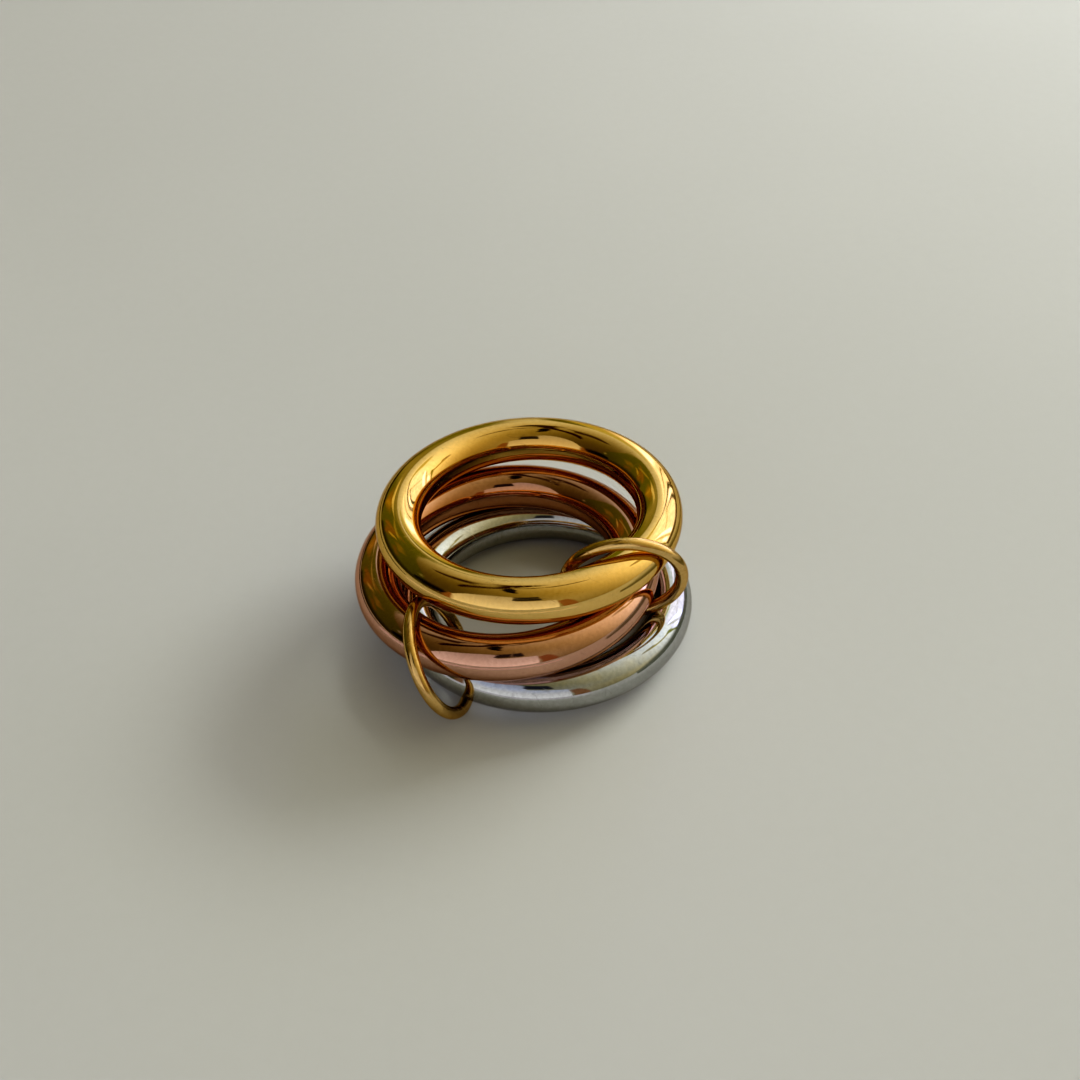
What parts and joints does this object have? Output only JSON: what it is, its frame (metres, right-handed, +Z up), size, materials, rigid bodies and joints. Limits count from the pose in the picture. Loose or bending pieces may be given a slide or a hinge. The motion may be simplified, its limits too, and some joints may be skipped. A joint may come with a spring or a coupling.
{
  "type": "rolling ring",
  "caption": "Finger ring of polished round bands in yellow, rose and white metal, stacked loose and joined in pairs by small wire links, lying on a surface.",
  "frame": {"origin": "on the surface that the ring lies on, under the middle of its box", "axes": "+Z up from the surface, +Y away from the viewer of the picture, +X to the viewer's right"},
  "size_m": [0.0274, 0.0278, 0.0134],
  "materials": {
    "yellow_gold": "yellow-gold plating on steel, polished to a mirror",
    "rose_gold": "rose-gold plating on steel, polished to a mirror",
    "white_steel": "bare stainless steel, polished to a mirror",
    "link_gold": "yellow-gold plated wire, polished"
  },
  "bodies": {
    "silver_band": {"silver_band": "white_steel"},
    "rose_band": {"rose_band": "rose_gold"},
    "yellow_band": {"yellow_band": "yellow_gold"},
    "upper_link": {"upper_link": "link_gold"},
    "lower_link": {"lower_link": "link_gold"}
  },
  "joints": [
    {"name": "rose_band_roll", "type": "hinge", "parent": "silver_band", "child": "rose_band", "pos_m": [-0.00134, -0.00052, 0.00613], "axis": [-0.0224, 0.0448, 0.9987], "continuous": true},
    {"name": "yellow_band_roll", "type": "hinge", "parent": "silver_band", "child": "yellow_band", "pos_m": [0.00056, 0.00162, 0.00979], "axis": [-0.0002, 0.067, 0.9978], "continuous": true},
    {"name": "upper_link_turn", "type": "hinge", "parent": "silver_band", "child": "upper_link", "pos_m": [0.00799, -0.00468, 0.00848], "axis": [-0.0305, 0.9835, 0.1782], "continuous": true},
    {"name": "lower_link_turn", "type": "hinge", "parent": "silver_band", "child": "lower_link", "pos_m": [-0.00643, -0.00889, 0.00462], "axis": [0.9015, -0.073, 0.4266], "continuous": true}
  ]
}
